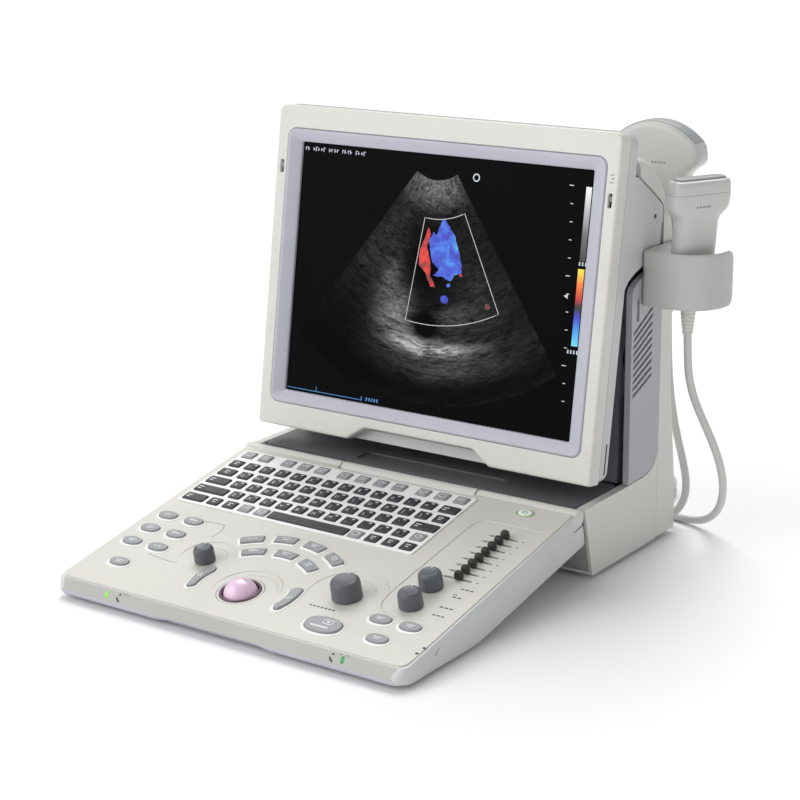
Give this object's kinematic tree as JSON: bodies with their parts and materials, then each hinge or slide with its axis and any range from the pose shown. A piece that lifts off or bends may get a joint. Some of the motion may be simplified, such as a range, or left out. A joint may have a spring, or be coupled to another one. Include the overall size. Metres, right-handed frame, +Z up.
{
  "type": "portable ultrasound scanner",
  "caption": "Portable diagnostic scanner with a tilting flat display, fold-up control panel, hand probes in side cups and their coiled cables.",
  "frame": {"origin": "on the table, at the centre of the footprint of unit, open keyboard and probe cups", "axes": "+X to the operator's right, +Y from the operator towards the rear, +Z up"},
  "size_m": [0.4204, 0.5553, 0.3768],
  "materials": {
    "ivory_shell": "fine satin texture",
    "light_grey_panel": "satin",
    "lavender_trim": "smooth satin",
    "dark_plastic": "fine matte texture",
    "black_key": "fine matte texture with pale legends",
    "grey_key": "soft satin with pale legends",
    "white_key_field": "satin",
    "knob": "satin",
    "ball": "polished",
    "ball_ring": "satin",
    "screen": "glossy dark panel",
    "probe_shell": "smooth semi-gloss",
    "cable": "soft matte",
    "cup": "satin",
    "steel": "brushed",
    "board": "solder mask green",
    "rubber": "matte",
    "battery": "matte"
  },
  "bodies": {
    "main_unit": {"base_shell": "ivory_shell", "front_grille": "dark_plastic", "deck_cover": "dark_plastic", "chassis": "dark_plastic", "side_panel_right": "light_grey_panel", "side_panel_left": "light_grey_panel", "rear_cover": "ivory_shell", "base_feet": "rubber", "hinge_pins": "steel", "battery_pack": "battery", "power_supply": "steel", "mainboard": "board", "fan_frame": "dark_plastic", "io_panel": "steel", "linear_connector": "dark_plastic", "convex_connector": "dark_plastic", "side_probe_cup": "cup", "rear_probe_cup": "cup", "linear_probe": "probe_shell", "convex_probe": "probe_shell", "linear_relief": "cable", "convex_relief": "cable", "linear_cable": "cable", "convex_cable": "cable", "linear_coil": "cable", "convex_coil": "cable"},
    "fan": {"fan_rotor": "dark_plastic"},
    "handle": {"carry_handle": "ivory_shell"},
    "display": {"display_bezel": "ivory_shell", "screen_frame": "lavender_trim", "lcd_panel": "screen", "display_rear_shell": "light_grey_panel"},
    "keyboard": {"keyboard_top": "ivory_shell", "keyboard_bottom": "ivory_shell", "front_bumper": "lavender_trim", "key_surround": "white_key_field", "keyboard_pcb": "board", "trackball_ring": "ball_ring", "keyboard_feet": "rubber"},
    "ball": {"trackball": "ball"},
    "function_bank": {"function_keys": "grey_key"},
    "letter_bank": {"letter_keys": "black_key"},
    "space": {"space_bar": "black_key"},
    "ovals": {"oval_buttons": "grey_key"},
    "arcs": {"arc_buttons": "grey_key"},
    "sets": {"set_buttons": "grey_key"},
    "freeze": {"freeze_button": "grey_key"},
    "power": {"power_button": "grey_key"},
    "focus": {"focus_knob": "knob"},
    "gain": {"gain_knob": "knob"},
    "mode_a": {"mode_knob_a": "knob"},
    "mode_b": {"mode_knob_b": "knob"},
    "tgc_1": {"tgc_slider_1": "knob"},
    "tgc_2": {"tgc_slider_2": "knob"},
    "tgc_3": {"tgc_slider_3": "knob"},
    "tgc_4": {"tgc_slider_4": "knob"},
    "tgc_5": {"tgc_slider_5": "knob"},
    "tgc_6": {"tgc_slider_6": "knob"},
    "tgc_7": {"tgc_slider_7": "knob"},
    "tgc_8": {"tgc_slider_8": "knob"}
  },
  "joints": [
    {"name": "keyboard_fold", "type": "hinge", "parent": "main_unit", "child": "keyboard", "pos_m": [-0.0315, 0.02666, 0.0615], "axis": [-1, 0, 0], "range_deg": [0, 101]},
    {"name": "display_tilt", "type": "hinge", "parent": "main_unit", "child": "display", "pos_m": [-0.0315, 0.14766, 0.2983], "axis": [1, 0, 0], "range_deg": [0, 8.9]},
    {"name": "handle_swing", "type": "hinge", "parent": "main_unit", "child": "handle", "pos_m": [-0.0315, 0.18915, 0.298], "axis": [1, 0, 0], "range_deg": [0, 110]},
    {"name": "fan_spin", "type": "hinge", "parent": "main_unit", "child": "fan", "pos_m": [0.1205, 0.14416, 0.178], "axis": [1, 0, 0], "continuous": true},
    {"name": "ball_roll", "type": "hinge", "parent": "keyboard", "child": "ball", "pos_m": [-0.0441, -0.18681, 0.02162], "axis": [1, 0, 0], "continuous": true},
    {"name": "focus_turn", "type": "hinge", "parent": "keyboard", "child": "focus", "pos_m": [-0.1039, -0.16079, 0.03132], "axis": [0, -0.1927, 0.9813], "continuous": true},
    {"name": "gain_turn", "type": "hinge", "parent": "keyboard", "child": "gain", "pos_m": [0.0438, -0.16089, 0.0313], "axis": [0, -0.1927, 0.9813], "continuous": true},
    {"name": "mode_a_turn", "type": "hinge", "parent": "keyboard", "child": "mode_a", "pos_m": [0.0993, -0.15196, 0.03305], "axis": [0, -0.1927, 0.9813], "continuous": true},
    {"name": "mode_b_turn", "type": "hinge", "parent": "keyboard", "child": "mode_b", "pos_m": [0.0981, -0.12213, 0.03891], "axis": [0, -0.1927, 0.9813], "continuous": true},
    {"name": "function_bank_press", "type": "slide", "parent": "keyboard", "child": "function_bank", "axis": [0, 0.1927, -0.9813], "range_m": [0, 0.0016], "stiffness_N_per_m": 600, "springref_m": -0.0015},
    {"name": "letter_bank_press", "type": "slide", "parent": "keyboard", "child": "letter_bank", "axis": [0, 0.1927, -0.9813], "range_m": [0, 0.0018], "stiffness_N_per_m": 600, "springref_m": -0.0015},
    {"name": "space_press", "type": "slide", "parent": "keyboard", "child": "space", "axis": [0, 0.1927, -0.9813], "range_m": [0, 0.0018], "stiffness_N_per_m": 600, "springref_m": -0.0015},
    {"name": "ovals_press", "type": "slide", "parent": "keyboard", "child": "ovals", "axis": [0, 0.1927, -0.9813], "range_m": [0, 0.0009], "stiffness_N_per_m": 600, "springref_m": -0.0015},
    {"name": "arcs_press", "type": "slide", "parent": "keyboard", "child": "arcs", "axis": [0, 0.1927, -0.9813], "range_m": [0, 0.0009], "stiffness_N_per_m": 600, "springref_m": -0.0015},
    {"name": "sets_press", "type": "slide", "parent": "keyboard", "child": "sets", "axis": [0, 0.1927, -0.9813], "range_m": [0, 0.001], "stiffness_N_per_m": 600, "springref_m": -0.0015},
    {"name": "freeze_press", "type": "slide", "parent": "keyboard", "child": "freeze", "axis": [0, 0.1927, -0.9813], "range_m": [0, 0.001], "stiffness_N_per_m": 600, "springref_m": -0.0015},
    {"name": "power_press", "type": "slide", "parent": "keyboard", "child": "power", "axis": [0, 0.1927, -0.9813], "range_m": [0, 0.0008], "stiffness_N_per_m": 600, "springref_m": -0.0015},
    {"name": "tgc_1_slide", "type": "slide", "parent": "keyboard", "child": "tgc_1", "axis": [1, 0, 0], "range_m": [-0.012, 0.0095]},
    {"name": "tgc_2_slide", "type": "slide", "parent": "keyboard", "child": "tgc_2", "axis": [1, 0, 0], "range_m": [-0.012, 0.0095]},
    {"name": "tgc_3_slide", "type": "slide", "parent": "keyboard", "child": "tgc_3", "axis": [1, 0, 0], "range_m": [-0.012, 0.0095]},
    {"name": "tgc_4_slide", "type": "slide", "parent": "keyboard", "child": "tgc_4", "axis": [1, 0, 0], "range_m": [-0.012, 0.0095]},
    {"name": "tgc_5_slide", "type": "slide", "parent": "keyboard", "child": "tgc_5", "axis": [1, 0, 0], "range_m": [-0.012, 0.0095]},
    {"name": "tgc_6_slide", "type": "slide", "parent": "keyboard", "child": "tgc_6", "axis": [1, 0, 0], "range_m": [-0.012, 0.0095]},
    {"name": "tgc_7_slide", "type": "slide", "parent": "keyboard", "child": "tgc_7", "axis": [1, 0, 0], "range_m": [-0.012, 0.0095]},
    {"name": "tgc_8_slide", "type": "slide", "parent": "keyboard", "child": "tgc_8", "axis": [1, 0, 0], "range_m": [-0.012, 0.0095]}
  ]
}
